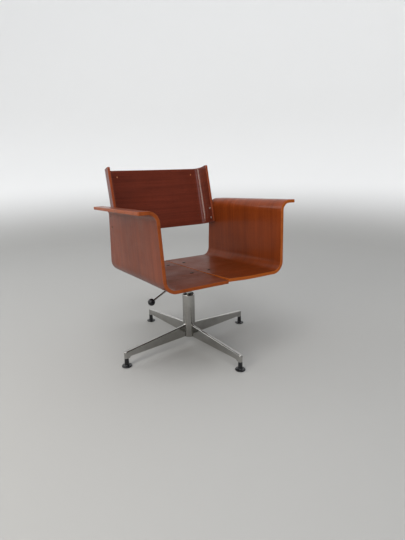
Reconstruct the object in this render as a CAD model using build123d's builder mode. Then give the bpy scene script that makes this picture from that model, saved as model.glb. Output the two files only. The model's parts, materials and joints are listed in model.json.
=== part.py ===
from build123d import *
import os
from math import sin, cos, radians, atan2, hypot

os.makedirs("parts", exist_ok=True)

# ---------------------------------------------------------------------------
# Swivel armchair: two bent plywood shells that are seat, side and arm in one,
# a bent plywood back, a gas-lift column and a four-arm star base on glides.
# Frame: millimetres, +Z up, origin on the floor on the column axis, the sitter
# faces -Y, +X is on the right of someone looking at the chair's front.
# ---------------------------------------------------------------------------

# ---- shells ----------------------------------------------------------------
ply = 12.0                  # thickness of the bent plywood
seat_tilt = 4.5             # degrees, front edge up
seat_z = 351.9              # seat's top face on the column axis
seam_gap = 2.0              # open joint between the two shells
seat_flat = 200.0           # the seat is a flat board out to here, then the bend begins
half_w_low = 257.3          # outer face of the side, at seat level
half_w_top_front = 266.8    # the same under the arm, at the front edge
half_w_top_rear = 258.3     # and at the rear: the sides splay a little in front
arm_half_w = 325.0          # outer edge of the arm
arm_h = 275.0               # arm's top above the seat, beside the column
arm_rise = 0.0211           # the arm climbs towards the rear
shell_front = -311.0        # front edge, in the seat's own frame
shell_rear = 227.0          # rear edge at seat level
arm_rear = 195.0            # rear edge at arm level, where the side rolls over
arm_rear_tip = 186.0        # and at the arm's outer corner
bend_seat = 36.0            # inside radius of the seat bend
bend_arm = 28.0             # inside radius under the arm
arm_corner = 6.0            # rounding of the arm's corners in plan
bolt_x = 39.5
bolt_ys = (109.5, -107.2)

# ---- back ------------------------------------------------------------------
back_t = 11.0
back_lean = 15.1            # degrees from upright
back_y = 228.2              # bottom of the panel's front face
back_z = 496.8
back_h = 268.0              # panel height along its slope
back_half_w = 245.9         # outer face of the side flanges
back_flange = 70.0          # how far the flanges come forward
back_bend = 34.0            # inside radius of the bends
back_screw_n = 53.0         # screws, forward of the panel
back_screw_ups = (17.0, 62.0)
plug_x, plug_up = 186.0, 239.0
old_hole_x, old_hole_up = 198.0, 41.0

# ---- base ------------------------------------------------------------------
base_turn = 9.1             # the star stands turned under the seat
foot_radius = 321.3         # column axis to glide axis
col_r, col_in = 27.0, 24.0
col_z0, col_z1 = 37.0, 229.0
collar_z1 = 236.0
arm_half_col = 5.5          # half thickness of a base arm at the column
arm_half_end = 8.4          # and at the glide
arm_top_col, arm_top_end = 92.5, 65.2   # top edge, at r = 24 and r = 325
arm_bot_col, arm_bot_end = 38.5, 42.5   # lower edge
arm_root = 10.0             # radius of the curve that runs the top edge up into the column
boss_z = 36.3               # underside of the boss over the glide
foot_h = 35.7
stud_r = 5.0

# ---- gas lift --------------------------------------------------------------
cyl_r, cyl_bore = 14.0, 12.0
cyl_z0, cyl_z1 = 76.0, 312.0
rod_r = 5.0
bush_z0 = 130.0
hub_r, hub_z0 = 21.0, 262.0
plate_t = 4.0
plate_w, plate_l = 130.0, 262.0
plate_lip = 10.0

# ---- lever -----------------------------------------------------------------
knob_at = (-250.0, -178.1, 301.3)       # centre of the ball knob
knob_r = 13.2
lever_r = 3.5
pivot_out = 32.0            # pivot, out from the column axis
pivot_z = 322.0
pin_r = 2.5

# ---- frames ----------------------------------------------------------------
ts, tc = sin(radians(seat_tilt)), cos(radians(seat_tilt))
bs, bc = sin(radians(back_lean)), cos(radians(back_lean))

seat_plane = Plane(origin=(0, 0, seat_z), x_dir=(1, 0, 0), z_dir=(0, ts, tc))
side_plane = Plane(origin=(0, 0, seat_z), x_dir=(0, tc, -ts), z_dir=(1, 0, 0))


def section_plane(y):
    """Cross-section of the shells, at y in the seat's own frame."""
    return Plane(origin=(0, tc * y, seat_z - ts * y), x_dir=(1, 0, 0), z_dir=(0, -tc, ts))


def back_point(x, up, n):
    """Point on the back: up its slope from its lower edge, n forward of its face."""
    return (x, back_y + bs * up - bc * n, back_z + bc * up + bs * n)


back_plane = Plane(origin=(0, back_y, back_z), x_dir=(1, 0, 0), z_dir=(0, bs, bc))
lever_angle = atan2(knob_at[1], knob_at[0])
lev = (cos(lever_angle), sin(lever_angle))
knob_out = hypot(knob_at[0], knob_at[1])
lever_plane = Plane(origin=(0, 0, 0), x_dir=(lev[0], lev[1], 0), z_dir=(lev[1], -lev[0], 0))
lever_droop = atan2(pivot_z - knob_at[2], knob_out - pivot_out)
foot_names = ("left", "front", "right", "rear")
foot_angles = (180.0 + base_turn, 270.0 + base_turn, base_turn, 90.0 + base_turn)
feet = {
    n: (foot_radius * cos(radians(a)), foot_radius * sin(radians(a)))
    for n, a in zip(foot_names, foot_angles)
}


def dome_mid(r, z, top):
    """Middle point of a dome's arc that starts at (r, z) and ends on the axis at height top."""
    zc = (r * r + z * z - top * top) / (2 * (z - top))
    rad = top - zc
    half = atan2(r, z - zc) / 2
    return (rad * sin(half), zc + rad * cos(half))


def upright(x, y):
    """Vertical sketch plane through (x, y): local x is the radius, local y is height."""
    return Plane(origin=(x, y, 0), x_dir=(1, 0, 0), z_dir=(0, -1, 0))


# ===========================================================================
# Star base
# ===========================================================================
for arm_name, arm_angle in zip(foot_names, foot_angles):
    ca, sa = cos(radians(arm_angle)), sin(radians(arm_angle))
    plan = Plane(origin=(0, 0, boss_z), x_dir=(ca, sa, 0), z_dir=(0, 0, 1))
    elev = Plane(origin=(0, 0, 0), x_dir=(ca, sa, 0), z_dir=(sa, -ca, 0))
    slope = (arm_top_end - arm_top_col) / (325.0 - 24.0)
    rise = (arm_bot_end - arm_bot_col) / 275.0
    with BuildPart() as base_arm:
        # plan: a blade that thickens outwards to a round end over the glide
        with BuildSketch(plan):
            with BuildLine():
                Polyline(
                    (foot_radius, arm_half_end),
                    (10.0, arm_half_col),
                    (10.0, -arm_half_col),
                    (foot_radius, -arm_half_end),
                )
                ThreePointArc(
                    (foot_radius, -arm_half_end),
                    (foot_radius + arm_half_end, 0),
                    (foot_radius, arm_half_end),
                )
            make_face()
        extrude(amount=80)
        # sloping top edge, which curves up into the column
        top_lean = atan2(slope, 1.0)
        root_x = col_r - 1.5 + arm_root
        foot_x = root_x + arm_root * sin(top_lean)
        root_z = arm_top_col + (foot_x - 24) * slope + arm_root * cos(top_lean)
        mid_turn = radians(225) + top_lean / 2
        with BuildSketch(elev):
            with BuildLine():
                Line((0, root_z), (root_x - arm_root, root_z))
                ThreePointArc(
                    (root_x - arm_root, root_z),
                    (root_x + arm_root * cos(mid_turn), root_z + arm_root * sin(mid_turn)),
                    (foot_x, arm_top_col + (foot_x - 24) * slope),
                )
                Polyline(
                    (foot_x, arm_top_col + (foot_x - 24) * slope),
                    (340, arm_top_col + 316 * slope),
                    (340, 140),
                    (0, 140),
                    (0, root_z),
                )
            make_face()
        extrude(amount=20, both=True, mode=Mode.SUBTRACT)

        def on_top_rim(e):
            c = e.center()
            r, across = c.X * ca + c.Y * sa, abs(c.Y * ca - c.X * sa)
            low = arm_top_col + (r - 24) * slope - 0.5
            return r > root_x - arm_root + 0.5 and c.Z > low and (across > 3 or r > foot_radius)

        fillet(base_arm.edges().filter_by(on_top_rim), 3.6)
        # lower edge, which runs down in a small curve to the boss over the glide
        with BuildSketch(elev):
            with BuildLine():
                edge_r = 309.0
                edge_z = arm_bot_col + rise * (edge_r - 25.0)
                l1 = Line((0, arm_bot_col - rise * 25.0), (edge_r - 6.0, edge_z))
                l2 = ThreePointArc(
                    (edge_r - 6.0, edge_z),
                    (edge_r - 6.0 + 6.0 * sin(radians(45)), edge_z - 6.0 + 6.0 * cos(radians(45))),
                    (edge_r, edge_z - 6.0),
                )
                Polyline((edge_r, edge_z - 6.0), (edge_r, 20), (0, 20), (0, arm_bot_col - rise * 25.0))
            make_face()
        extrude(amount=20, both=True, mode=Mode.SUBTRACT)
        # the column, and the glide's tapped hole
        with BuildSketch(Plane.XY):
            Circle(col_r + 0.02)
        extrude(amount=140, mode=Mode.SUBTRACT)
        with BuildSketch(Plane.XY.offset(boss_z - 1)):
            with Locations((foot_radius * ca, foot_radius * sa)):
                Circle(stud_r + 0.06)
        extrude(amount=22, mode=Mode.SUBTRACT)
    base_arm.part.label = "base_arm_" + arm_name
    export_step(base_arm.part, "parts/base_arm_" + arm_name + ".step")

with BuildPart() as column_tube:
    with BuildSketch(Plane.XY.offset(col_z0)):
        Circle(col_r)
        Circle(col_in, mode=Mode.SUBTRACT)
    extrude(amount=col_z1 - col_z0)
column_tube.part.label = "column_tube"
export_step(column_tube.part, "parts/column_tube.step")

with BuildPart() as column_collar:
    with BuildSketch(Plane.XZ):
        with BuildLine():
            Polyline((col_r - 6.0, col_z1 - 2.7), (col_in - 0.05, col_z1 - 2.7), (col_in - 0.05, col_z1), (col_r, col_z1),
                     (col_r, col_z1 + 1.0))
            ThreePointArc((col_r, col_z1 + 1.0), (col_r - 1.6, col_z1 + 4.9), (col_r - 4.8, collar_z1))
            Polyline((col_r - 4.8, collar_z1), (col_r - 6.0, collar_z1), (col_r - 6.0, col_z1 - 2.7))
        make_face()
    revolve(axis=Axis.Z)
column_collar.part.label = "column_collar"
export_step(column_collar.part, "parts/column_collar.step")

with BuildPart() as guide_bush:
    with BuildSketch(Plane.XZ):
        with BuildLine():
            Polyline((cyl_r + 0.06, bush_z0), (col_in - 0.02, bush_z0), (col_in - 0.02, col_z1 - 3.0),
                     (col_r - 6.1, col_z1 - 3.0), (col_r - 6.1, collar_z1 - 0.6), (15.2, collar_z1 - 0.6),
                     (cyl_r + 0.06, collar_z1 - 2.0), close=True)
        make_face()
    revolve(axis=Axis.Z)
guide_bush.part.label = "guide_bush"
export_step(guide_bush.part, "parts/guide_bush.step")

with BuildPart() as column_end_plate:
    with BuildSketch(Plane.XY.offset(col_z0)):
        Circle(col_in - 0.02)
        Circle(rod_r + 0.08, mode=Mode.SUBTRACT)
    extrude(amount=6)
column_end_plate.part.label = "column_end_plate"
export_step(column_end_plate.part, "parts/column_end_plate.step")

# ---- thrust bearing under the lift's rod ------------------------------------
race_z = col_z0 + 6.0
with BuildPart() as bearing_lower_race:
    with BuildSketch(Plane.XY.offset(race_z)):
        Circle(15)
        Circle(6, mode=Mode.SUBTRACT)
    extrude(amount=2.5)
bearing_lower_race.part.label = "bearing_lower_race"
export_step(bearing_lower_race.part, "parts/bearing_lower_race.step")

with BuildPart() as bearing_balls:
    with Locations((0, 0, race_z + 5.05)):
        with PolarLocations(11.0, 10):
            Sphere(2.5)
bearing_balls.part.label = "bearing_balls"
export_step(bearing_balls.part, "parts/bearing_balls.step")

with BuildPart() as ball_cage:
    with BuildSketch(Plane.XY.offset(race_z + 3.9)):
        Circle(14.5)
        Circle(7.5, mode=Mode.SUBTRACT)
        with PolarLocations(11.0, 10):
            Circle(2.7, mode=Mode.SUBTRACT)
    extrude(amount=2.3)
ball_cage.part.label = "ball_cage"
export_step(ball_cage.part, "parts/ball_cage.step")

with BuildPart() as bearing_upper_race:
    with BuildSketch(Plane.XY.offset(race_z + 7.6)):
        Circle(15)
        Circle(rod_r + 0.03, mode=Mode.SUBTRACT)
    extrude(amount=2.5)
bearing_upper_race.part.label = "bearing_upper_race"
export_step(bearing_upper_race.part, "parts/bearing_upper_race.step")

# ---- rod, piston and what is on the rod -------------------------------------
shoulder_z = race_z + 10.1
with BuildPart() as piston_rod:
    with BuildSketch(Plane.XZ):
        with BuildLine():
            Polyline((0, 30.0), (4.2, 30.0), (rod_r, 30.8), (rod_r, 33.0), (4.0, 33.0), (4.0, 34.6), (rod_r, 34.6),
                     (rod_r, shoulder_z), (9.0, shoulder_z), (9.0, shoulder_z + 3.5), (rod_r, shoulder_z + 3.5),
                     (rod_r, 268.0), (3.5, 268.0), (3.5, 283.0), (0, 283.0), close=True)
        make_face()
    revolve(axis=Axis.Z)
piston_rod.part.label = "piston_rod"
export_step(piston_rod.part, "parts/piston_rod.step")

with BuildPart() as piston:
    with BuildSketch(Plane.XY.offset(268.0)):
        Circle(cyl_bore - 0.08)
        Circle(3.53, mode=Mode.SUBTRACT)
    extrude(amount=12)
piston.part.label = "piston"
export_step(piston.part, "parts/piston.step")

with BuildPart() as lift_buffer:
    with BuildSketch(Plane.XY.offset(shoulder_z + 3.5)):
        Circle(11)
        Circle(rod_r + 0.03, mode=Mode.SUBTRACT)
    extrude(amount=cyl_z0 - 0.5 - shoulder_z - 3.5)
    chamfer(lift_buffer.faces().sort_by(Axis.Z)[-1].edges().sort_by(SortBy.RADIUS)[-1], 2)
lift_buffer.part.label = "lift_buffer"
export_step(lift_buffer.part, "parts/lift_buffer.step")

with BuildPart() as rod_washer:
    with BuildSketch(Plane.XY.offset(34.75)):
        Circle(10)
        Circle(rod_r + 0.1, mode=Mode.SUBTRACT)
    extrude(amount=1.6)
rod_washer.part.label = "rod_washer"
export_step(rod_washer.part, "parts/rod_washer.step")

with BuildPart() as rod_clip:
    with BuildSketch(Plane.XY.offset(33.1)):
        Circle(8.0)
        Circle(4.05, mode=Mode.SUBTRACT)
        with Locations((0, -6.0)):
            Rectangle(6.4, 9.0, mode=Mode.SUBTRACT)
    extrude(amount=1.4)
rod_clip.part.label = "rod_clip"
export_step(rod_clip.part, "parts/rod_clip.step")

# ---- gas cylinder, which carries the seat -----------------------------------
with BuildPart() as gas_cylinder:
    with BuildSketch(Plane.XZ):
        with BuildLine():
            Polyline((cyl_bore, cyl_z0), (cyl_r, cyl_z0), (cyl_r, cyl_z1 - 1.0), (cyl_r - 1.0, cyl_z1), (4.05, cyl_z1),
                     (4.05, 295.0), (0, 295.0), (0, 286.0), (cyl_bore, 286.0), close=True)
        make_face()
    revolve(axis=Axis.Z)
gas_cylinder.part.label = "gas_cylinder"
export_step(gas_cylinder.part, "parts/gas_cylinder.step")

with BuildPart() as cylinder_gland:
    with BuildSketch(Plane.XY.offset(cyl_z0 + 1.0)):
        Circle(cyl_bore - 0.02)
        Circle(rod_r + 0.06, mode=Mode.SUBTRACT)
    extrude(amount=14)
cylinder_gland.part.label = "cylinder_gland"
export_step(cylinder_gland.part, "parts/cylinder_gland.step")

with BuildPart() as release_pin:
    with BuildSketch(Plane.XZ):
        with BuildLine():
            Polyline((0, 300.0), (4.0, 300.0), (4.0, 317.2))
            ThreePointArc((4.0, 317.2), dome_mid(4.0, 317.2, 318.6), (0, 318.6))
            Line((0, 318.6), (0, 300.0))
        make_face()
    revolve(axis=Axis.Z)
release_pin.part.label = "release_pin"
export_step(release_pin.part, "parts/release_pin.step")

# ===========================================================================
# Under the seat: plate, hub, gussets, lever bracket
# ===========================================================================
plate_y = (bolt_ys[0] + bolt_ys[1]) / 2
with BuildPart() as seat_plate:
    with BuildSketch(seat_plane.offset(-ply - plate_t)):
        with Locations((0, plate_y)):
            RectangleRounded(plate_w, plate_l, 14)
        for by in bolt_ys:
            with Locations((bolt_x, by), (-bolt_x, by)):
                Circle(4.3, mode=Mode.SUBTRACT)
    extrude(amount=plate_t)
    # folded lips along both long sides
    with BuildSketch(seat_plane.offset(-ply - plate_t - plate_lip)):
        with Locations((plate_w / 2 - 1.75, plate_y), (-plate_w / 2 + 1.75, plate_y)):
            Rectangle(3.5, plate_l - 44)
    extrude(amount=plate_lip)
seat_plate.part.label = "seat_plate"
export_step(seat_plate.part, "parts/seat_plate.step")

under_plate = seat_plane.offset(-ply - plate_t)
with BuildPart() as hub_socket:
    with BuildSketch(Plane.XY.offset(hub_z0)):
        Circle(hub_r)
        Circle(cyl_r + 0.01, mode=Mode.SUBTRACT)
    extrude(amount=90)
    split(bisect_by=under_plate, keep=Keep.BOTTOM)
    # slot that the lever's inner end swings in
    with BuildSketch(Plane(origin=(0, 0, cyl_z1 + 1.2), x_dir=(lev[0], lev[1], 0), z_dir=(0, 0, 1))):
        with Locations((15, 0)):
            Rectangle(30, 14)
    extrude(amount=60, mode=Mode.SUBTRACT)
    chamfer(hub_socket.faces().sort_by(Axis.Z)[0].edges().sort_by(SortBy.RADIUS)[-1], 1.5)
hub_socket.part.label = "hub_socket"
export_step(hub_socket.part, "parts/hub_socket.step")

with BuildPart() as hub_gussets:
    # fore and aft webs between hub and plate
    with BuildSketch(Plane.YZ):
        with BuildLine():
            Polyline((hub_r + 0.02, 274), (hub_r + 12, 274), (96, 322), (96, 360), (hub_r + 0.02, 360), close=True)
        make_face()
        with BuildLine():
            Polyline((-hub_r - 0.02, 274), (-hub_r - 12, 274), (-96, 330), (-96, 360), (-hub_r - 0.02, 360), close=True)
        make_face()
    extrude(amount=2.5, both=True)
    with BuildSketch(Plane.XY.offset(260)):
        Circle(hub_r + 0.02)
    extrude(amount=110, mode=Mode.SUBTRACT)
    split(bisect_by=under_plate, keep=Keep.BOTTOM)
hub_gussets.part.label = "hub_gussets"
export_step(hub_gussets.part, "parts/hub_gussets.step")

with BuildPart() as lever_bracket:
    # two ears welded under the plate, either side of the lever's eye
    with BuildSketch(lever_plane.offset(6.0)):
        with BuildLine():
            Polyline((24, 317), (27, 314), (37, 314), (42, 319), (46, 350), (22, 350), close=True)
        make_face()
        with Locations((pivot_out, pivot_z)):
            Circle(pin_r + 0.04, mode=Mode.SUBTRACT)
    extrude(amount=3)
    with BuildSketch(lever_plane.offset(-9.0)):
        with BuildLine():
            Polyline((24, 317), (27, 314), (37, 314), (42, 319), (46, 350), (22, 350), close=True)
        make_face()
        with Locations((pivot_out, pivot_z)):
            Circle(pin_r + 0.04, mode=Mode.SUBTRACT)
    extrude(amount=3)
    split(bisect_by=under_plate, keep=Keep.BOTTOM)
lever_bracket.part.label = "lever_bracket"
export_step(lever_bracket.part, "parts/lever_bracket.step")

with BuildPart() as lever_pivot_pin:
    with BuildSketch(lever_plane.offset(-10.5)):
        with Locations((pivot_out, pivot_z)):
            Circle(pin_r)
    extrude(amount=19.6)
    with BuildSketch(lever_plane.offset(9.1)):
        with Locations((pivot_out, pivot_z)):
            Circle(4.2)
    extrude(amount=1.8)
lever_pivot_pin.part.label = "lever_pivot_pin"
export_step(lever_pivot_pin.part, "parts/lever_pivot_pin.step")

# ---- lever -------------------------------------------------------------------
dr, dz = cos(lever_droop), -sin(lever_droop)
rod_dir = (lev[0] * dr, lev[1] * dr, dz)
rod_len = (knob_out - pivot_out) / dr
rod_plane = Plane(
    origin=(lev[0] * pivot_out, lev[1] * pivot_out, pivot_z), x_dir=(lev[1], -lev[0], 0), z_dir=rod_dir
)
knob_face = rod_len - 11.9
with BuildPart() as lever_rod:
    with BuildSketch(rod_plane.offset(4.0)):
        Circle(lever_r)
    extrude(amount=knob_face - 4.0 - 0.05)
    with BuildSketch(rod_plane.offset(knob_face - 0.05)):
        Circle(3.0)
    extrude(amount=11.0)
    # flat inner end and the eye round the pivot
    with BuildSketch(lever_plane):
        with BuildLine():
            Polyline((-5.0, 319.0), (pivot_out + 6, 319.0), (pivot_out + 6, 325.0), (-3.0, 325.0), (-5.0, 323.0),
                     close=True)
        make_face()
        with Locations((pivot_out, pivot_z)):
            Circle(6.2)
    extrude(amount=4.5, both=True)
    with BuildSketch(lever_plane.offset(-6)):
        with Locations((pivot_out, pivot_z)):
            Circle(pin_r + 0.05)
    extrude(amount=12, mode=Mode.SUBTRACT)
lever_rod.part.label = "lever_rod"
export_step(lever_rod.part, "parts/lever_rod.step")

with BuildPart() as lever_knob:
    with Locations(Location(knob_at)):
        Sphere(knob_r)
    # flat where the rod goes in, and the bore for the insert
    split(bisect_by=rod_plane.offset(knob_face), keep=Keep.TOP)
    with BuildSketch(rod_plane.offset(knob_face - 1)):
        Circle(5.0)
    extrude(amount=15, mode=Mode.SUBTRACT)
lever_knob.part.label = "lever_knob"
export_step(lever_knob.part, "parts/lever_knob.step")

with BuildPart() as knob_insert:
    with BuildSketch(rod_plane.offset(knob_face)):
        Circle(4.98)
        Circle(3.02, mode=Mode.SUBTRACT)
    extrude(amount=13.5)
knob_insert.part.label = "knob_insert"
export_step(knob_insert.part, "parts/knob_insert.step")


# ===========================================================================
# Plywood shells and back
# ===========================================================================
def shell_outline(top_half_w, h):
    """Corner points of a shell's cross-section: upper side, then under side."""
    lean = (top_half_w - half_w_low) / h

    def outer(z):
        return half_w_low + lean * z

    step = ply * (1 + lean * lean) ** 0.5

    def inner(z):
        return outer(z) - step

    upper = [(seat_flat, 0), (inner(0), 0), (inner(h), h), (arm_half_w, h)]
    under = [(seat_flat, -ply), (outer(-ply), -ply), (outer(h - ply), h - ply), (arm_half_w, h - ply)]
    return upper, under


sections = (
    (shell_front, half_w_top_front, arm_h + arm_rise * shell_front),
    (shell_rear, half_w_top_rear, arm_h + arm_rise * shell_rear),
)
with BuildPart() as right_shell:
    for sec_y, sec_w, sec_h in sections:
        up_pts, un_pts = shell_outline(sec_w, sec_h)
        with BuildSketch(section_plane(sec_y)):
            with BuildLine():
                FilletPolyline(*up_pts, radius=(bend_seat, bend_arm + ply))
                FilletPolyline(*un_pts, radius=(bend_seat + ply, bend_arm))
                Line(up_pts[0], un_pts[0])
                Line(up_pts[-1], un_pts[-1])
            make_face()
    loft(ruled=True)
    # flat part of the seat, from the seam to the bend
    with BuildSketch(seat_plane.offset(-ply)):
        with Locations(((seam_gap / 2 + seat_flat) / 2, (shell_front + shell_rear) / 2)):
            Rectangle(seat_flat - seam_gap / 2, shell_rear - shell_front)
    extrude(amount=ply)
    # rear edge: square at the seat, leaning forward up the side to the arm
    with BuildSketch(side_plane):
        with BuildLine():
            Polyline((shell_rear, 0), (arm_rear, arm_h), (arm_rear - 4, 330), (shell_rear + 40, 330),
                     (shell_rear + 40, 0), close=True)
        make_face()
    extrude(amount=400, both=True, mode=Mode.SUBTRACT)
    # the arm's rear end runs a little forward to its outer corner
    with BuildSketch(seat_plane.offset(200)):
        with BuildLine():
            Polyline((274, arm_rear + 1), (arm_half_w + 1, arm_rear_tip), (arm_half_w + 1, shell_rear + 40),
                     (274, shell_rear + 40), close=True)
        make_face()
    extrude(amount=140, mode=Mode.SUBTRACT)
    # arm corners
    fillet(
        right_shell.edges().filter_by(lambda e: e.center().X > arm_half_w - 0.5 and e.length < ply + 3), arm_corner
    )
    # bolt holes in the seat
    with BuildSketch(seat_plane.offset(-ply - 2)):
        with Locations(*[(bolt_x, by) for by in bolt_ys]):
            Circle(4.2)
    extrude(amount=ply + 4, mode=Mode.SUBTRACT)
    # holes for the back's inserts
    for up in back_screw_ups:
        px, py, pz = back_point(0, up, back_screw_n)
        with BuildSketch(Plane(origin=(240, py, pz), x_dir=(0, 1, 0), z_dir=(1, 0, 0))):
            Circle(4.55)
        extrude(amount=30, mode=Mode.SUBTRACT)
right_shell.part.label = "right_shell"
export_step(right_shell.part, "parts/right_shell.step")

with BuildPart() as left_shell:
    add(right_shell.part.mirror(Plane.YZ))
left_shell.part.label = "left_shell"
export_step(left_shell.part, "parts/left_shell.step")

with BuildPart() as backrest:
    in_w = back_half_w - back_t
    with BuildSketch(back_plane):
        with BuildLine():
            FilletPolyline((-back_half_w, -back_flange), (-back_half_w, back_t), (back_half_w, back_t),
                           (back_half_w, -back_flange), radius=back_bend + back_t)
            FilletPolyline((-in_w, -back_flange), (-in_w, 0), (in_w, 0), (in_w, -back_flange), radius=back_bend)
            Line((-back_half_w, -back_flange), (-in_w, -back_flange))
            Line((back_half_w, -back_flange), (in_w, -back_flange))
        make_face()
    extrude(amount=back_h)
    # rounded front corners of both flanges
    fillet(
        backrest.edges().filter_by(Axis.X).filter_by(lambda e: e.length < back_t + 1), 5
    )
    for up in back_screw_ups:
        px, py, pz = back_point(0, up, back_screw_n)
        with BuildSketch(Plane(origin=(-260, py, pz), x_dir=(0, 1, 0), z_dir=(1, 0, 0))):
            Circle(3.2)
        extrude(amount=520, mode=Mode.SUBTRACT)
    # plugged holes near the top and two small open ones low down
    face_plane = Plane(origin=(0, back_y, back_z), x_dir=(1, 0, 0), z_dir=(0, -bc, bs))
    with BuildSketch(face_plane.offset(1)):
        with Locations((plug_x, plug_up), (-plug_x, plug_up)):
            Circle(3.0)
    extrude(amount=-7, mode=Mode.SUBTRACT)
    with BuildSketch(face_plane.offset(1)):
        with Locations((old_hole_x, old_hole_up), (-old_hole_x, old_hole_up)):
            Circle(1.8)
    extrude(amount=-7, mode=Mode.SUBTRACT)
backrest.part.label = "backrest"
export_step(backrest.part, "parts/backrest.step")

with BuildPart() as back_plugs:
    with BuildSketch(face_plane.offset(-5.9)):
        with Locations((plug_x, plug_up), (-plug_x, plug_up)):
            Circle(2.97)
    extrude(amount=6.1)
back_plugs.part.label = "back_plugs"
export_step(back_plugs.part, "parts/back_plugs.step")

# ===========================================================================
# Fasteners
# ===========================================================================
bolt_spots = [(sx * bolt_x, by) for by in bolt_ys for sx in (1, -1)]
with BuildPart() as seat_bolts:
    for bx, by in bolt_spots:
        o = seat_plane.from_local_coords(Vector(bx, by, 0))
        stand = Plane(origin=o, x_dir=(1, 0, 0), z_dir=(0, -tc, ts))
        with BuildSketch(stand):
            with BuildLine():
                Polyline((0, -27), (3.4, -27), (4.0, -26.4), (4.0, 0.0), (8.5, 0.0), (8.5, 0.7))
                ThreePointArc((8.5, 0.7), dome_mid(8.5, 0.7, 2.9), (0, 2.9))
                Line((0, 2.9), (0, -27))
            make_face()
        revolve(axis=Axis(o, (0, ts, tc)))
    # driving slots
    with BuildSketch(seat_plane.offset(1.5)):
        for (bx, by), turn in zip(bolt_spots, (20, 75, 130, 50)):
            with Locations(Location((bx, by, 0), (0, 0, turn))):
                Rectangle(18, 1.8)
    extrude(amount=3, mode=Mode.SUBTRACT)
seat_bolts.part.label = "seat_bolts"
export_step(seat_bolts.part, "parts/seat_bolts.step")

with BuildPart() as seat_washers:
    with BuildSketch(seat_plane.offset(-ply - plate_t - 1.6)):
        with Locations(*bolt_spots):
            Circle(8.5)
            Circle(4.2, mode=Mode.SUBTRACT)
    extrude(amount=1.6)
seat_washers.part.label = "seat_washers"
export_step(seat_washers.part, "parts/seat_washers.step")

with BuildPart() as seat_nuts:
    with BuildSketch(seat_plane.offset(-ply - plate_t - 1.6 - 6.5)):
        with Locations(*bolt_spots):
            RegularPolygon(6.5, 6, major_radius=False)
            Circle(4.04, mode=Mode.SUBTRACT)
    extrude(amount=6.5)
seat_nuts.part.label = "seat_nuts"
export_step(seat_nuts.part, "parts/seat_nuts.step")

with BuildPart() as back_screws:
    for side in (1, -1):
        for up in back_screw_ups:
            px, py, pz = back_point(0, up, back_screw_n)
            o = (side * in_w, py, pz)
            stand = Plane(origin=o, x_dir=(0, 1, 0), z_dir=(0, 0, side))
            with BuildSketch(stand):
                with BuildLine():
                    Polyline((0, -20.6), (2.5, -20.6), (3.0, -20.1), (3.0, 0), (4.8, 0), (4.8, 0.5))
                    ThreePointArc((4.8, 0.5), dome_mid(4.8, 0.5, 2.4), (0, 2.4))
                    Line((0, 2.4), (0, -20.6))
                make_face()
            revolve(axis=Axis(o, (1, 0, 0)))
back_screws.part.label = "back_screws"
export_step(back_screws.part, "parts/back_screws.step")

with BuildPart() as wall_inserts:
    for side in (1, -1):
        for up in back_screw_ups:
            px, py, pz = back_point(0, up, back_screw_n)
            with BuildSketch(Plane(origin=(side * 247.2, py, pz), x_dir=(0, 1, 0), z_dir=(side, 0, 0))):
                Circle(4.5)
                Circle(3.04, mode=Mode.SUBTRACT)
            extrude(amount=11.0)
wall_inserts.part.label = "wall_inserts"
export_step(wall_inserts.part, "parts/wall_inserts.step")

# ===========================================================================
# Glides
# ===========================================================================
for foot_name, (fx, fy) in feet.items():
    axis = Axis((fx, fy, 0), (0, 0, 1))
    with BuildPart() as glide:
        with BuildSketch(upright(fx, fy)):
            with BuildLine():
                Polyline((0, 0), (18.6, 0))
                ThreePointArc((18.6, 0), (20.5, 2.4), (18.4, 4.8))
                Line((18.4, 4.8), (13.0, 5.6))
                ThreePointArc((13.0, 5.6), (10.4, 6.7), (9.4, 9.2))
                Polyline((9.4, 9.2), (8.5, foot_h - 0.8), (7.7, foot_h), (stud_r, foot_h), (stud_r, 14.0), (0, 14.0),
                         (0, 0))
            make_face()
        revolve(axis=axis)
    glide.part.label = "glide_" + foot_name
    export_step(glide.part, "parts/glide_" + foot_name + ".step")

    with BuildPart() as glide_stud:
        with BuildSketch(upright(fx, fy)):
            with BuildLine():
                Polyline((0, 14.0), (stud_r - 0.01, 14.0), (stud_r - 0.01, 54.2), (stud_r - 0.8, 55.0), (0, 55.0),
                         close=True)
            make_face()
        revolve(axis=axis)
    glide_stud.part.label = "glide_stud_" + foot_name
    export_step(glide_stud.part, "parts/glide_stud_" + foot_name + ".step")
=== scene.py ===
import json
import math

import bmesh
import bpy
from mathutils import Matrix, Vector


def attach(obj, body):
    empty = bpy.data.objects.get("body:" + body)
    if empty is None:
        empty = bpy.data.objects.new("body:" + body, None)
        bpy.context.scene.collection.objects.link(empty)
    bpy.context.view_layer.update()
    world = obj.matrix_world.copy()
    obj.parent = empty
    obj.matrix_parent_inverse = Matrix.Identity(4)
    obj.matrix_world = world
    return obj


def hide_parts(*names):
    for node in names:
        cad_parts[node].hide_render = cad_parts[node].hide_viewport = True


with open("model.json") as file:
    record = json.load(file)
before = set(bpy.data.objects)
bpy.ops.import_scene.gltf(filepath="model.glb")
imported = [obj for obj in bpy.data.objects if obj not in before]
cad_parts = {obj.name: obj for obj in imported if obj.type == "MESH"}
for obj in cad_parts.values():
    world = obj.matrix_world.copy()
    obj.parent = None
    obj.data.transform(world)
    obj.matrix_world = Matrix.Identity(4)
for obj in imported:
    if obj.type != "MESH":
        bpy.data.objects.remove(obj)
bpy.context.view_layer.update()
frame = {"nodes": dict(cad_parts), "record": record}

nodes = frame["nodes"]
scene = bpy.context.scene

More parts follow.
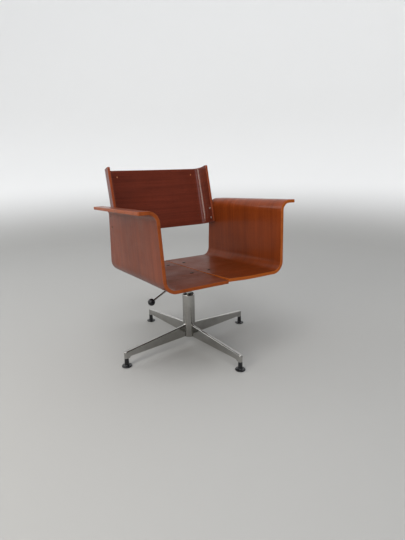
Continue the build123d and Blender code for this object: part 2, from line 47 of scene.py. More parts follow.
# ---------------------------------------------------------------------------
# Sizes, in millimetres, as in the CAD
# ---------------------------------------------------------------------------
PLY = 12.0
SEAT_Z = 351.9
TS, TC = math.sin(math.radians(4.5)), math.cos(math.radians(4.5))
SEAM = 1.0
HALF_LOW, HALF_TOP_FRONT, HALF_TOP_REAR = 257.3, 266.8, 258.3
ARM_EDGE, ARM_H, ARM_RISE = 325.0, 275.0, 0.0211
FRONT, REAR, WALL_REAR, ARM_REAR, ARM_TIP = -311.0, 227.0, 233.0, 195.0, 186.0
BACK_T, BACK_Y, BACK_Z, BACK_H = 11.0, 228.2, 496.8, 268.0
BS, BC = math.sin(math.radians(15.1)), math.cos(math.radians(15.1))
BACK_HALF, BACK_FLANGE, BACK_BEND, BACK_LOW = 245.9, 70.0, 37.0, -5.0
SCREW_N, SCREW_UPS = 53.0, (17.0, 62.0)
BOLT_X, BOLT_YS = 39.5, (109.5, -107.2)


def seat_point(x, y, z):
    return Vector((x, TC * y + TS * z, SEAT_Z - TS * y + TC * z)) * 0.001


def back_point(x, up, n):
    return Vector((x, BACK_Y + BS * up - BC * n, BACK_Z + BC * up + BS * n)) * 0.001


def smooth(t):
    t = min(1.0, max(0.0, t))
    return t * t * (3 - 2 * t)


# ---------------------------------------------------------------------------
# Bent sheets: a profile of lines and arcs, swept into a closed board with
# rounded edges. Each vertex knows its place along the grain, across it and
# through the thickness.
# ---------------------------------------------------------------------------
def profile(corners, radii):
    """Lines and arcs through corners, as (kind, length, data)."""
    pts = [Vector(c) for c in corners]
    parts, at = [], pts[0]
    for k, r in enumerate(radii):
        a, b, c = pts[k], pts[k + 1], pts[k + 2]
        d1, d2 = (b - a).normalized(), (c - b).normalized()
        turn = math.atan2(d1.x * d2.y - d1.y * d2.x, d1.dot(d2))
        cut = r * math.tan(abs(turn) / 2)
        p, q = b - d1 * cut, b + d2 * cut
        parts.append(("line", (p - at).length, (at, d1)))
        side = Vector((-d1.y, d1.x)) * (1 if turn > 0 else -1)
        centre = p + side * r
        start = math.atan2(p.y - centre.y, p.x - centre.x)
        parts.append(("arc", abs(turn) * r, (centre, r, start, turn)))
        at = q
    last = (pts[-1] - at)
    parts.append(("line", last.length, (at, last.normalized())))
    return parts


def on_profile(parts, k, kind, value):
    """(place, left normal, distance along) of a spot on part k: a share f of it, or + / - millimetres from its ends."""
    shape, length, data = parts[k]
    d = value * length if kind == "f" else value if kind == "+" else length - value
    along = sum(p[1] for p in parts[:k]) + d
    if shape == "line":
        at, way = data
        return at + way * d, Vector((-way.y, way.x)), along
    centre, r, start, turn = data
    angle = start + turn * d / length
    out = Vector((math.cos(angle), math.sin(angle)))
    return centre + out * r, -out if turn > 0 else out, along


def board(name, rows, half, edge, place, columns):
    """Closed board. rows: (spot on the profile, inset of the row's two ends); columns(row index, inset) gives the stations
    across; place(row, station, o, t) gives the 3-D point, t through the thickness."""
    n = len(rows)
    grid = [[place(i, y) for y in columns(i, rows[i][1])] for i in range(n)]
    m = len(grid[0])
    mesh = bpy.data.meshes.new(name)
    verts, uvs, ply, rim = [], [], [], []

    def add(p, u, v, t, d):
        verts.append(p)
        uvs.append((u, v))
        ply.append(t)
        rim.append(d)
        return len(verts) - 1

    def spot(i, j, t):
        p, nrm, u, v = grid[i][j]
        near = min(u - grid[0][j][2], grid[-1][j][2] - u, v - grid[i][0][3], grid[i][-1][3] - v)
        return add(p + nrm * (t * 0.001), u * 0.001, v * 0.001, t / half, near + edge)

    top = [[spot(i, j, half) for j in range(m)] for i in range(n)]
    low = [[spot(i, j, -half) for j in range(m)] for i in range(n)]
    faces = []
    for i in range(n - 1):
        for j in range(m - 1):
            faces.append((top[i][j], top[i + 1][j], top[i + 1][j + 1], top[i][j + 1]))
            faces.append((low[i][j], low[i][j + 1], low[i + 1][j + 1], low[i + 1][j]))
    loop = [(0, j) for j in range(m)] + [(i, m - 1) for i in range(1, n)]
    loop += [(n - 1, j) for j in range(m - 2, -1, -1)] + [(i, 0) for i in range(n - 2, 0, -1)]
    size = len(loop)
    out = []
    for k, (i, j) in enumerate(loop):
        before, after = grid[loop[k - 1][0]][loop[k - 1][1]][0], grid[loop[(k + 1) % size][0]][loop[(k + 1) % size][1]][0]
        way = (after - before).normalized()
        out.append(grid[i][j][1].cross(way).normalized())
    middle = grid[n // 2][m // 2][0]
    i, j = loop[m // 2]
    if (grid[i][j][0] - middle).dot(out[m // 2]) < 0:
        out = [-o for o in out]
    steps = 4
    ring = [(edge * math.sin(a), half - edge + edge * math.cos(a)) for a in (math.pi / 2 * k / steps for k in range(1, steps + 1))]
    flat = half - edge
    ring += [(edge, flat * (1 - 2 * k / 6)) for k in range(1, 6)]
    ring += [(o, -t) for o, t in reversed(ring[:steps])]
    ring.pop()
    ring.append((edge * math.sin(math.pi / 2 / steps), -(half - edge + edge * math.cos(math.pi / 2 / steps))))
    rings = [[top[i][j] for i, j in loop]]
    for o, t in ring:
        made = []
        for k, (i, j) in enumerate(loop):
            p, nrm, u, v = grid[i][j]
            made.append(add(p + (nrm * t + out[k] * o) * 0.001, u * 0.001, v * 0.001, t / half, edge - o))
        rings.append(made)
    rings.append([low[i][j] for i, j in loop])
    for a, b in zip(rings, rings[1:]):
        for k in range(size):
            k2 = (k + 1) % size
            faces.append((a[k], a[k2], b[k2], b[k]))
    mesh.from_pydata([tuple(v) for v in verts], [], faces)
    layer = mesh.uv_layers.new(name="grain")
    for lp in mesh.loops:
        layer.data[lp.index].uv = uvs[lp.vertex_index]
    layer = mesh.uv_layers.new(name="edge")
    for lp in mesh.loops:
        layer.data[lp.index].uv = (ply[lp.vertex_index], rim[lp.vertex_index])
    work = bmesh.new()
    work.from_mesh(mesh)
    bmesh.ops.recalc_face_normals(work, faces=work.faces)
    work.to_mesh(mesh)
    work.free()
    mesh.polygons.foreach_set("use_smooth", [True] * len(mesh.polygons))
    ob = bpy.data.objects.new(name, mesh)
    scene.collection.objects.link(ob)
    return ob


def stations(y0, y1, count):
    near = (0.0, 1.2, 3.2, 8.0)
    inner = [y0 + 8.0 + (y1 - y0 - 16.0) * k / count for k in range(1, count)]
    return [y0 + d for d in near] + inner + [y1 - d for d in reversed(near)]


def spread(k, count, first=0.0, last=1.0):
    return [(k, "f", first + (last - first) * i / count) for i in range(count + 1)]


EDGE = 1.5


def corner_rows(k, kind, r, turns):
    """Rows that round the board's two corners at one end of the profile."""
    small = r - EDGE
    rows = [((k, kind, r - small * math.cos(a)), r - small * math.sin(a)) for a in (math.pi / 2 * i / turns for i in range(turns + 1))]
    return rows if kind == "+" else rows[::-1]


def shell(side):
    def section(y):
        f = (y - FRONT) / (REAR - FRONT)
        w = HALF_TOP_FRONT + (HALF_TOP_REAR - HALF_TOP_FRONT) * f
        h = ARM_H + ARM_RISE * y
        base = HALF_LOW + 3.5 * smooth((y + 120.0) / 350.0)
        lean = (w - base) / h
        half = PLY / 2 * (1 + lean * lean) ** 0.5
        mid = lambda z: base + lean * z - half
        low, high = -PLY / 2, h - PLY / 2
        return profile([(SEAM, low), (mid(low), low), (mid(high), high), (ARM_EDGE, high)], (36 + PLY / 2, 28 + PLY / 2))

    rows = corner_rows(0, "+", 2.6, 3)
    rows += [((0, "+", 5.0), EDGE), ((0, "+", 10.0), EDGE)]
    rows += [(s, EDGE) for s in spread(0, 12, 0.095, 0.985)]
    rows += [(s, EDGE) for s in spread(1, 20)]
    rows += [(s, EDGE) for s in spread(2, 14, 0.03, 0.97)]
    rows += [(s, EDGE) for s in spread(3, 18)]
    rows += [((4, "f", 0.18), EDGE), ((4, "f", 0.4), EDGE), ((4, "f", 0.62), EDGE), ((4, "-", 8.5), EDGE), ((4, "-", 7.0), EDGE)]
    rows += corner_rows(4, "-", 6.0, 6)
    nominal = section(0.0)

    def columns(i, inset):
        p, _, _ = on_profile(nominal, *rows[i][0])
        rear = WALL_REAR + (ARM_REAR - WALL_REAR) * min(1.0, max(0.0, p.y / ARM_H))
        rear = REAR + (rear - REAR) * smooth((p.y + 4.0) / 40.0)
        rear += (ARM_TIP - ARM_REAR) * smooth((p.x - 268.0) / 60.0)
        return stations(FRONT + inset, rear - inset, 24)

    def place(i, y):
        p, nrm, along = on_profile(section(y), *rows[i][0])
        # the two boards don't meet level: the right one stands proud towards the front of the joint
        near = math.exp(-((max(0.0, p.x) / 60.0) ** 2))
        front = smooth((-70.0 - y) / 240.0)
        lift = near * ((0.5 + 4.0 * front) if side > 0 else (-0.1 - 0.7 * front))
        # and the lift stops short of the bend
        at = seat_point(side * p.x, y, p.y + (lift if p.x < 205 else 0.0))
        out = seat_point(side * nrm.x, 0, nrm.y) - seat_point(0, 0, 0)
        return at, (out * 1000).normalized(), along, y

    return board("right_board" if side > 0 else "left_board", rows, PLY / 2, EDGE, place, columns)


def back():
    mid = BACK_HALF - BACK_T / 2
    low = -BACK_T / 2
    parts = profile([(-mid, BACK_FLANGE), (-mid, low), (mid, low), (mid, BACK_FLANGE)], (BACK_BEND + BACK_T / 2,) * 2)
    rows = corner_rows(0, "+", 5.0, 5)
    rows += [((0, "+", 6.5), EDGE), ((0, "+", 10.0), EDGE)]
    rows += [(s, EDGE) for s in spread(0, 3, 0.45, 0.96)]
    rows += [(s, EDGE) for s in spread(1, 26)]
    rows += [(s, EDGE) for s in spread(2, 22, 0.008, 0.992)]
    rows += [(s, EDGE) for s in spread(3, 26)]
    rows += [(s, EDGE) for s in spread(4, 3, 0.04, 0.55)]
    rows += [((4, "-", 10.0), EDGE), ((4, "-", 6.5), EDGE)]
    rows += corner_rows(4, "-", 5.0, 5)

    def columns(i, inset):
        return stations(BACK_LOW + inset, BACK_H - inset, 14)

    def place(i, up):
        p, nrm, along = on_profile(parts, *rows[i][0])
        # the panel is slightly hollow towards its top
        hollow = -1.5 * (1 - min(1.0, (p.x / 190.0) ** 2)) * smooth(up / 120.0)
        at = back_point(p.x, up, p.y + hollow)
        out = back_point(nrm.x, 0, nrm.y) - back_point(0, 0, 0)
        return at, (out * 1000).normalized(), along, up

    return board("back_board", rows, BACK_T / 2, EDGE, place, columns)


def rod(name, centre, way, r, length, sides=32):
    """Closed round bar on a line, for cutting holes."""
    way = Vector(way).normalized()
    turn = way.to_track_quat("Z", "Y").to_matrix().to_4x4()
    work = bmesh.new()
    bmesh.ops.create_cone(work, cap_ends=True, segments=sides, radius1=r, radius2=r, depth=length)
    mesh = bpy.data.meshes.new(name)
    work.to_mesh(mesh)
    work.free()
    mesh.transform(Matrix.Translation(centre) @ turn)
    # the painted-shade material rides on the cutter and passes to the walls of the hole it cuts
    mesh.materials.append(hole_painted_shade)
    ob = bpy.data.objects.new(name, mesh)
    scene.collection.objects.link(ob)
    return ob


def settle(ob):
    """Applies ob's modifiers."""
    bpy.context.view_layer.update()
    made = bpy.data.meshes.new_from_object(ob.evaluated_get(bpy.context.evaluated_depsgraph_get()), preserve_all_data_layers=True,
                                           depsgraph=bpy.context.evaluated_depsgraph_get())
    made.name = ob.name
    old = ob.data
    ob.modifiers.clear()
    ob.data = made
    bpy.data.meshes.remove(old)


def cut(ob, cutters):
    for c in cutters:
        mod = ob.modifiers.new("cut", "BOOLEAN")
        mod.operation, mod.solver, mod.object = "DIFFERENCE", "EXACT", c
        # the hole walls take the cutter's painted-shade material
        mod.material_mode = "TRANSFER"
    settle(ob)
    for c in cutters:
        bpy.data.objects.remove(c)


def sharpen(ob, degrees):
    """Smooth faces with hard edges where the turn is over the angle."""
    me = ob.data
    me.polygons.foreach_set("use_smooth", [True] * len(me.polygons))
    me.set_sharp_from_angle(angle=math.radians(degrees))


# ---------------------------------------------------------------------------
# Material helpers
# ---------------------------------------------------------------------------
class Tree:
    def __init__(self, name):
        self.mat = bpy.data.materials.new(name)
        self.mat.use_nodes = True
        self.nt = self.mat.node_tree
        self.nt.nodes.clear()
        self.out = self.nt.nodes.new("ShaderNodeOutputMaterial")
        self.bsdf = self.nt.nodes.new("ShaderNodeBsdfPrincipled")
        self.link(self.bsdf.outputs[0], self.out.inputs["Surface"])

    def link(self, a, b):
        self.nt.links.new(a, b)

    def new(self, kind, **props):
        n = self.nt.nodes.new("ShaderNode" + kind)
        for k, v in props.items():
            setattr(n, k, v)
        return n

    def feed(self, socket, value):
        if isinstance(value, bpy.types.NodeSocket):
            self.link(value, socket)
        else:
            socket.default_value = value

    def math(self, op, a, b=0.5, c=0.5, clamp=False):
        n = self.new("Math", operation=op, use_clamp=clamp)
        for s, v in zip(n.inputs, (a, b, c)):
            self.feed(s, v)
        return n.outputs[0]

    def vec(self, x, y, z):
        n = self.new("CombineXYZ")
        for s, v in zip(n.inputs, (x, y, z)):
            self.feed(s, v)
        return n.outputs[0]

    def noise(self, vector, scale=1.0, detail=2.0, rough=0.5, distortion=0.0):
        n = self.new("TexNoise", noise_dimensions="3D")
        self.feed(n.inputs["Vector"], vector)
        n.inputs["Scale"].default_value = scale
        n.inputs["Detail"].default_value = detail
        n.inputs["Roughness"].default_value = rough
        n.inputs["Distortion"].default_value = distortion
        return n.outputs[0]

    def ramp(self, fac, stops, ease="LINEAR"):
        n = self.new("ValToRGB")
        n.color_ramp.interpolation = ease
        el = n.color_ramp.elements
        while len(el) > 1:
            el.remove(el[-1])
        el[0].position = stops[0][0]
        el[0].color = (*stops[0][1], 1)
        for pos, col in stops[1:]:
            e = el.new(pos)
            e.color = (*col, 1)
        self.feed(n.inputs[0], fac)
        return n.outputs[0]

    def span(self, value, a, b, c, d, smoothly=False):
        n = self.new("MapRange", clamp=True)
        n.interpolation_type = "SMOOTHSTEP" if smoothly else "LINEAR"
        for s, v in zip(n.inputs, (value, a, b, c, d)):
            self.feed(s, v)
        return n.outputs[0]

    def mix(self, fac, a, b, how="MIX"):
        n = self.new("Mix", data_type="RGBA", blend_type=how)
        n.clamp_factor = True
        self.feed(n.inputs[0], fac)
        for s, v in ((n.inputs[6], a), (n.inputs[7], b)):
            if isinstance(v, bpy.types.NodeSocket):
                self.link(v, s)
            else:
                s.default_value = (*v, 1)
        return n.outputs[2]

    def bump(self, height, strength, distance, normal=None):
        n = self.new("Bump")
        n.inputs["Strength"].default_value = strength
        n.inputs["Distance"].default_value = distance
        self.feed(n.inputs["Height"], height)
        if normal is not None:
            self.link(normal, n.inputs["Normal"])
        return n.outputs[0]

    def uv(self, name):
        n = self.new("SeparateXYZ")
        self.link(self.new("UVMap", uv_map=name).outputs[0], n.inputs[0])
        return n.outputs[0], n.outputs[1]

    def place(self):
        return self.new("TexCoord").outputs["Object"]


def wood(name, seed, dark, mid, light, edge_light, edge_dark, rough=0.42, coat=0.5, gloss=0.15, bump=0.05, worn=0.5, layers=9, seat_coat=None):
    """Lacquered veneer on plywood: grain along u, pores, a slow figure, layered edges, rubbed corners and fine scratches."""
    t = Tree(name)
    u, v = t.uv("grain")
    ply, rim = t.uv("edge")
    sway = t.noise(t.vec(t.math("MULTIPLY", u, 2.2), t.math("MULTIPLY", v, 3.0), seed), 1.0, 2.0)
    v2 = t.math("MULTIPLY_ADD", sway, 0.02, v)
    band = t.noise(t.vec(t.math("MULTIPLY", u, 0.8), t.math("MULTIPLY", v2, 46.0), seed + 3.1), 1.0, 3.0, 0.55)
    fibre = t.noise(t.vec(t.math("MULTIPLY", u, 5.0), t.math("MULTIPLY", v2, 330.0), seed + 5.7), 1.0, 5.0, 0.62)
    figure = t.noise(t.vec(t.math("MULTIPLY", u, 1.6), t.math("MULTIPLY", v2, 6.5), seed + 9.3), 1.0, 2.0, 0.5)
    mottle = t.noise(t.vec(t.math("MULTIPLY", u, 14.0), t.math("MULTIPLY", v, 17.0), seed + 2.2), 1.0, 3.0, 0.5)
    value = t.math("MULTIPLY", band, 0.26)
    value = t.math("MULTIPLY_ADD", fibre, 0.40, value)
    value = t.math("MULTIPLY_ADD", figure, 0.22, value)
    value = t.math("MULTIPLY_ADD", mottle, 0.12, value)
    face = t.ramp(value, [(0.38, dark), (0.49, mid), (0.60, light)])
    pores = t.noise(t.vec(t.math("MULTIPLY", u, 55.0), t.math("MULTIPLY", v2, 1500.0), seed + 1.9), 1.0, 1.0, 0.5)
    pore = t.span(pores, 0.60, 0.70, 0.0, 1.0, True)
    face = t.mix(t.math("MULTIPLY", pore, 0.5), face, tuple(c * 0.35 for c in dark))
    if seat_coat is not None:
        face = t.mix(t.span(u, 0.20, 0.30, 0.42, 0.0, True), face, tuple(c * 0.30 for c in dark))
    # light scratches across the lacquer
    scr = t.noise(t.vec(t.math("MULTIPLY", u, 38.0), t.math("MULTIPLY", v, 3.2), seed + 21.0), 1.0, 2.0, 0.6, 1.4)
    line = t.math("ABSOLUTE", t.math("SUBTRACT", scr, 0.5))
    where = t.span(t.noise(t.vec(t.math("MULTIPLY", u, 4.5), t.math("MULTIPLY", v, 4.0), seed + 27.0), 1.0, 1.0), 0.56, 0.70, 0.0, 1.0, True)
    scratch = t.math("MULTIPLY", t.span(line, 0.0, 0.006, 1.0, 0.0), where)
    face = t.mix(t.math("MULTIPLY", scratch, 0.35 * worn), face, tuple(min(1, c * 2.6 + 0.02) for c in light))
    # rubbed corners: the colour is worn through just beside the edges
    rub = t.span(rim, 0.6, 3.4, 1.0, 0.0, True)
    rubn = t.span(t.noise(t.vec(t.math("MULTIPLY", u, 24.0), t.math("MULTIPLY", v, 24.0), seed + 33.0), 1.0, 4.0, 0.65), 0.42, 0.62, 0.0, 1.0)
    face = t.mix(t.math("MULTIPLY", t.math("MULTIPLY", rub, rubn), 0.75 * worn), face, edge_light)
    # layered edge
    lay = t.math("MULTIPLY_ADD", ply, layers / 2, layers / 2 + 0.25)
    saw = t.math("PINGPONG", lay, 1.0)
    lam = t.span(saw, 0.36, 0.64, 0.0, 1.0, True)
    grainy = t.noise(t.vec(t.math("MULTIPLY", u, 210.0), t.math("MULTIPLY", v, 210.0), t.math("MULTIPLY", ply, 4.0)), 1.0, 4.0, 0.65)
    lam = t.math("MULTIPLY_ADD", t.math("SUBTRACT", grainy, 0.5), 0.9, lam)
    side = t.ramp(lam, [(0.0, edge_dark), (0.55, tuple((a + b) / 2 for a, b in zip(edge_dark, edge_light))), (1.0, edge_light)])
    dirt = t.noise(t.vec(t.math("MULTIPLY", u, 30.0), t.math("MULTIPLY", v, 30.0), seed + 41.0), 1.0, 4.0, 0.6)
    side = t.mix(t.span(dirt, 0.5, 0.75, 0.0, 0.55, True), side, tuple(c * 0.45 for c in edge_dark))
    is_edge = t.span(t.math("ABSOLUTE", ply), 0.985, 0.90, 0.0, 1.0, True)
    colour = t.mix(is_edge, face, side)
    t.link(colour, t.bsdf.inputs["Base Color"])
    haze = t.noise(t.vec(t.math("MULTIPLY", u, 7.0), t.math("MULTIPLY", v, 9.0), seed + 51.0), 1.0, 5.0, 0.6)
    r = t.span(haze, 0.35, 0.7, rough - 0.05, rough + 0.12)
    r = t.math("MULTIPLY_ADD", is_edge, 0.14, r)
    r = t.math("MULTIPLY_ADD", scratch, 0.2, r, True)
    t.link(r, t.bsdf.inputs["Roughness"])
    high = t.math("MULTIPLY_ADD", pore, -1.0, t.math("MULTIPLY", fibre, 0.6))
    high = t.math("MULTIPLY_ADD", scratch, -0.6, high)
    t.link(t.bump(high, bump, 0.0003), t.bsdf.inputs["Normal"])
    if seat_coat is None:
        t.bsdf.inputs["Coat Weight"].default_value = coat
    else:
        t.link(t.span(t.math("MULTIPLY_ADD", t.math("SUBTRACT", haze, 0.5), 0.05, u), 0.18, 0.285, seat_coat, coat, True),
               t.bsdf.inputs["Coat Weight"])
    t.bsdf.inputs["Coat Roughness"].default_value = gloss
    t.bsdf.inputs["Coat IOR"].default_value = 1.45
    t.bsdf.inputs["Specular IOR Level"].default_value = 0.05
    return t.mat


def metal(name, bright, dull, rough_low, rough_high, smear=9.0, fine=420.0, pit=0.05):
    """Plated metal: smears, fine polishing lines and small pits."""
    t = Tree(name)
    p = t.place()
    cloud = t.noise(p, smear, 4.0, 0.6)
    fine_n = t.noise(p, fine, 3.0, 0.6)
    specks = t.span(t.noise(p, 240.0, 2.0, 0.5), 0.68, 0.74, 0.0, 1.0, True)
    c = t.ramp(cloud, [(0.30, dull), (0.62, bright)])
    c = t.mix(t.math("MULTIPLY", specks, 0.35), c, tuple(x * 0.45 for x in dull))
    t.link(c, t.bsdf.inputs["Base Color"])
    r = t.span(cloud, 0.30, 0.70, rough_high, rough_low)
    r = t.math("MULTIPLY_ADD", fine_n, 0.05, r, True)
    t.link(r, t.bsdf.inputs["Roughness"])
    h = t.math("MULTIPLY_ADD", specks, -1.0, t.math("MULTIPLY", fine_n, 0.25))
    t.link(t.bump(h, pit, 0.0002), t.bsdf.inputs["Normal"])
    t.bsdf.inputs["Metallic"].default_value = 1.0
    return t.mat


def dark(name, base, lift, rough_low, rough_high, scale=60.0, bump=0.05, dusty=False, coat=0.0, shine=0.5):
    """Black plastics, rubber and paint: moulded texture, rubbed and dusty places."""
    t = Tree(name)
    p = t.place()
    cloud = t.noise(p, scale, 4.0, 0.6)
    grain = t.noise(p, scale * 22, 2.0, 0.5)
    c = t.ramp(cloud, [(0.38, base), (0.66, lift)])
    r = t.span(cloud, 0.35, 0.68, rough_low, rough_high)
    if dusty:
        sep = t.new("SeparateXYZ")
        t.link(p, sep.inputs[0])
        low = t.span(sep.outputs[2], 0.0008, 0.0028, 1.0, 0.0, True)
        rub = t.math("MULTIPLY", low, t.span(t.noise(p, 190.0, 4.0, 0.7), 0.45, 0.68, 0.0, 1.0))
        c = t.mix(t.math("MULTIPLY", rub, 0.35), c, (0.07, 0.066, 0.06))
        r = t.math("MULTIPLY_ADD", rub, 0.3, r, True)
    t.link(c, t.bsdf.inputs["Base Color"])
    t.link(r, t.bsdf.inputs["Roughness"])
    t.link(t.bump(t.math("MULTIPLY_ADD", grain, 0.5, cloud), bump, 0.0003), t.bsdf.inputs["Normal"])
    t.bsdf.inputs["Specular IOR Level"].default_value = shine
    t.bsdf.inputs["Coat Weight"].default_value = coat
    t.bsdf.inputs["Coat Roughness"].default_value = 0.06
    return t.mat


def plain_wood(name, a, b):
    """End-grain of a small plug; in near-black colours it also serves as the painted shade on the walls of the cut
    holes.
    """
    t = Tree(name)
    p = t.place()
    n = t.noise(p, 700.0, 4.0, 0.65)
    t.link(t.ramp(n, [(0.35, a), (0.62, b)]), t.bsdf.inputs["Base Color"])
    t.link(t.span(n, 0.3, 0.7, 0.28, 0.48), t.bsdf.inputs["Roughness"])
    t.link(t.bump(n, 0.1, 0.0003), t.bsdf.inputs["Normal"])
    t.bsdf.inputs["Coat Weight"].default_value = 0.4
    return t.mat


# ---------------------------------------------------------------------------
# Finishes
# ---------------------------------------------------------------------------
def tones(mid, low=0.70, high=1.34):
    return tuple(c * low for c in mid), mid, tuple(c * high for c in mid)


wood_left = wood("veneer_left", 4.0, *tones((0.145, 0.031, 0.0105)), (0.29, 0.066, 0.013), (0.185, 0.038, 0.0085),
                 coat=0.42, seat_coat=0.02)
wood_right = wood("veneer_right", 17.0, *tones((0.155, 0.028, 0.0045)), (0.38, 0.095, 0.014), (0.25, 0.056, 0.0092),
                  coat=0.30, seat_coat=0.08)
wood_back = wood("veneer_back", 31.0, *tones((0.108, 0.0195, 0.0095), 0.74, 1.28), (0.26, 0.052, 0.014), (0.14, 0.026, 0.009),
                 rough=0.36, coat=0.6, gloss=0.11, bump=0.02, worn=0.3)
plug = plain_wood("plug_wood", (0.30, 0.085, 0.022), (0.52, 0.17, 0.05))
chrome = metal("chrome", (0.43, 0.423, 0.402), (0.33, 0.323, 0.305), 0.06, 0.16)
bright = metal("bright_steel", (0.72, 0.71, 0.69), (0.50, 0.49, 0.47), 0.16, 0.34, 40.0, 800.0)
brass = metal("brass", (0.20, 0.125, 0.055), (0.085, 0.050, 0.024), 0.30, 0.50, 60.0, 900.0)
# painted shade: near-black wood for the walls of the cut holes, in place of the shade inside them
hole_painted_shade = plain_wood("hole_painted_shade", (0.012, 0.005, 0.003), (0.028, 0.011, 0.006))
black_steel = dark("black_steel", (0.012, 0.012, 0.013), (0.030, 0.029, 0.028), 0.34, 0.55, 45.0, 0.06)
dark_steel = metal("dark_steel", (0.050, 0.038, 0.032), (0.016, 0.012, 0.010), 0.36, 0.58, 130.0, 900.0)
black_plastic = dark("black_plastic", (0.010, 0.010, 0.011), (0.024, 0.024, 0.025), 0.30, 0.48, 80.0, 0.05)
knob_black = dark("knob_black", (0.006, 0.006, 0.007), (0.013, 0.013, 0.014), 0.16, 0.28, 70.0, 0.02, coat=0.12, shine=0.2)
glide_black = dark("glide_black", (0.005, 0.005, 0.006), (0.011, 0.011, 0.012), 0.14, 0.28, 90.0, 0.02, dusty=True, coat=0.25, shine=0.25)
rubber = dark("rubber", (0.012, 0.012, 0.012), (0.026, 0.025, 0.024), 0.55, 0.8, 90.0, 0.08)

finish = {
    "plug_wood": plug, "chrome": chrome, "bright_steel": bright, "black_steel": black_steel, "dark_steel": dark_steel,
    "brass": brass, "black_plastic": black_plastic, "knob_black": knob_black, "glide_black": glide_black, "rubber": rubber,
    "shell_ply": wood_right, "back_ply": wood_back,
}
for part in frame["record"]["subparts"]:
    ob = nodes[part["node"]]
    ob.data.materials.clear()
    ob.data.materials.append(finish[part["material_slot"]])

# ---------------------------------------------------------------------------
# The boards
# ---------------------------------------------------------------------------
boards = {}
for side, node, mat in ((-1, "left_shell", wood_left), (1, "right_shell", wood_right)):
    ob = shell(side)
    holes = []
    for up in SCREW_UPS:
        c = back_point(0, up, SCREW_N)
        holes.append(rod("hole", (side * 0.2535, c.y, c.z), (side, 0, 0), 0.0045, 0.016))
    for y in BOLT_YS:
        holes.append(rod("hole", seat_point(side * BOLT_X, y, -5.0), (0, TS, TC), 0.0042, 0.026))
    ob.data.materials.append(mat)
    cut(ob, holes)
    sharpen(ob, 40)
    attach(ob, "seat")
    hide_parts(node)
    boards[node] = ob

ob = back()
holes = [rod("hole", back_point(x, 41.0, -2.0), (0, -BC, BS), 0.0018, 0.009, 20) for x in (-198.0, 198.0)]
for up in SCREW_UPS:
    c = back_point(0, up, SCREW_N)
    holes += [rod("hole", (x, c.y, c.z), (1, 0, 0), 0.0032, 0.018) for x in (-0.2404, 0.2404)]
ob.data.materials.append(wood_back)
cut(ob, holes)
sharpen(ob, 40)
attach(ob, "seat")
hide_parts("backrest")

# ---------------------------------------------------------------------------
# Camera, floor and light
# ---------------------------------------------------------------------------
yaw, pitch, roll = math.radians(-30.86), math.radians(16.0), math.radians(-0.79)
back_way = Vector((math.sin(yaw) * math.cos(pitch), -math.cos(yaw) * math.cos(pitch), math.sin(pitch)))
right_way = (-back_way).cross(Vector((0, 0, 1))).normalized()
up_way = right_way.cross(-back_way)
r2 = right_way * math.cos(roll) + up_way * math.sin(roll)
u2 = up_way * math.cos(roll) - right_way * math.sin(roll)
cam_data = bpy.data.cameras.new("camera")
cam_data.sensor_width = 36.0
cam_data.sensor_fit = "AUTO"
cam_data.lens = 377.53 * 36.0 / 540.0
cam = bpy.data.objects.new("camera", cam_data)
cam.matrix_world = Matrix((
    (r2.x, u2.x, back_way.x, -0.7488),
    (r2.y, u2.y, back_way.y, -1.3765),
    (r2.z, u2.z, back_way.z, 0.7885),
    (0, 0, 0, 1),
))
scene.collection.objects.link(cam)
scene.camera = cam

# a round studio bowl: flat floor that curves up into a pale wall on all sides
work = bmesh.new()
ring_prev = None
stops = [(0.0, 0.0), (0.6, 0.0), (1.2, 0.0), (1.8, 0.0), (2.4, 0.0)]
stops += [(2.4 + 1.4 * math.sin(a), 1.4 - 1.4 * math.cos(a)) for a in (math.pi / 2 * k / 16 for k in range(1, 17))]
stops += [(3.8, 2.2), (3.8, 3.2)]
around = 96
for r, z in stops:
    if r == 0:
        ring = [work.verts.new((0, 0, -0.0004))]
    else:
        ring = [work.verts.new((r * math.cos(2 * math.pi * k / around), r * math.sin(2 * math.pi * k / around), z - 0.0004)) for k in range(around)]
    if ring_prev is not None:
        for k in range(around):
            k2 = (k + 1) % around
            if len(ring_prev) == 1:
                work.faces.new((ring_prev[0], ring[k], ring[k2]))
            else:
                work.faces.new((ring_prev[k], ring[k], ring[k2], ring_prev[k2]))
    ring_prev = ring
mesh = bpy.data.meshes.new("studio_floor")
work.to_mesh(mesh)
work.free()
mesh.polygons.foreach_set("use_smooth", [True] * len(mesh.polygons))
floor = bpy.data.objects.new("studio_floor", mesh)
scene.collection.objects.link(floor)
ft = Tree("studio_floor")
fsep = ft.new("SeparateXYZ")
ft.link(ft.place(), fsep.inputs[0])
ft.link(ft.ramp(ft.span(fsep.outputs[2], 0.0, 0.55, 0.0, 1.0, True), [(0.0, (0.36, 0.355, 0.342)), (1.0, (0.88, 0.88, 0.875))]),
        ft.bsdf.inputs["Base Color"])
ft.bsdf.inputs["Roughness"].default_value = 0.75
ft.bsdf.inputs["Specular IOR Level"].default_value = 0.25
mesh.materials.append(ft.mat)

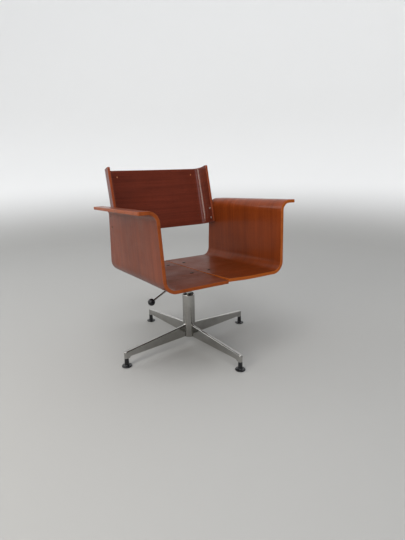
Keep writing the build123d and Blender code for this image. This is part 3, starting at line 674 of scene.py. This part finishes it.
# a dark curtain in front, seen only in reflections
work = bmesh.new()
prev = None
for k in range(25):
    angle = math.radians(-25.0 - 100.0 * k / 24)
    pair = [work.verts.new((2.9 * math.cos(angle), 2.9 * math.sin(angle), z)) for z in (0.25, 3.0)]
    if prev:
        work.faces.new((prev[0], pair[0], pair[1], prev[1]))
    prev = pair
mesh = bpy.data.meshes.new("curtain")
work.to_mesh(mesh)
work.free()
curtain = bpy.data.objects.new("curtain", mesh)
scene.collection.objects.link(curtain)
ct = Tree("curtain")
ct.bsdf.inputs["Base Color"].default_value = (0.05, 0.05, 0.05, 1)
ct.bsdf.inputs["Roughness"].default_value = 0.9
ct.bsdf.inputs["Specular IOR Level"].default_value = 0.0
mesh.materials.append(ct.mat)
curtain.visible_camera = False
curtain.visible_shadow = False
curtain.visible_diffuse = False

world = bpy.data.worlds.new("studio")
world.use_nodes = True
bg = next(n for n in world.node_tree.nodes if n.type == "BACKGROUND")
bg.inputs["Color"].default_value = (0.95, 0.97, 1.0, 1)
bg.inputs["Strength"].default_value = 1.0
scene.world = world


def lamp(name, at, to, size, power, colour=(1, 1, 1), tall=None):
    data = bpy.data.lights.new(name, "AREA")
    data.energy, data.color, data.size = power, colour, size
    if tall:
        data.shape, data.size_y = "RECTANGLE", tall
    ob = bpy.data.objects.new(name, data)
    ob.location = at
    ob.rotation_euler = (Vector(to) - Vector(at)).to_track_quat("-Z", "Y").to_euler()
    ob.visible_camera = False
    scene.collection.objects.link(ob)
    return ob


lamp("window_left", (-2.25, -0.85, 1.35), (0, 0, 0.5), 0.8, 24, (1.0, 0.95, 0.86), 1.3)
lamp("window_front", (-1.15, -2.35, 1.75), (0, 0, 0.5), 0.7, 7, (0.86, 0.90, 1.0), 1.1)
lamp("top", (-0.6, -0.8, 2.9), (0, 0, 0.2), 1.1, 24, (0.99, 0.99, 1.0))
lamp("rear_left", (-2.1, 1.9, 1.9), (0, 0, 0.4), 1.6, 20, (0.97, 0.985, 1.0))

scene.view_settings.view_transform = "Standard"
scene.view_settings.look = "None"
scene.view_settings.exposure = 0.0
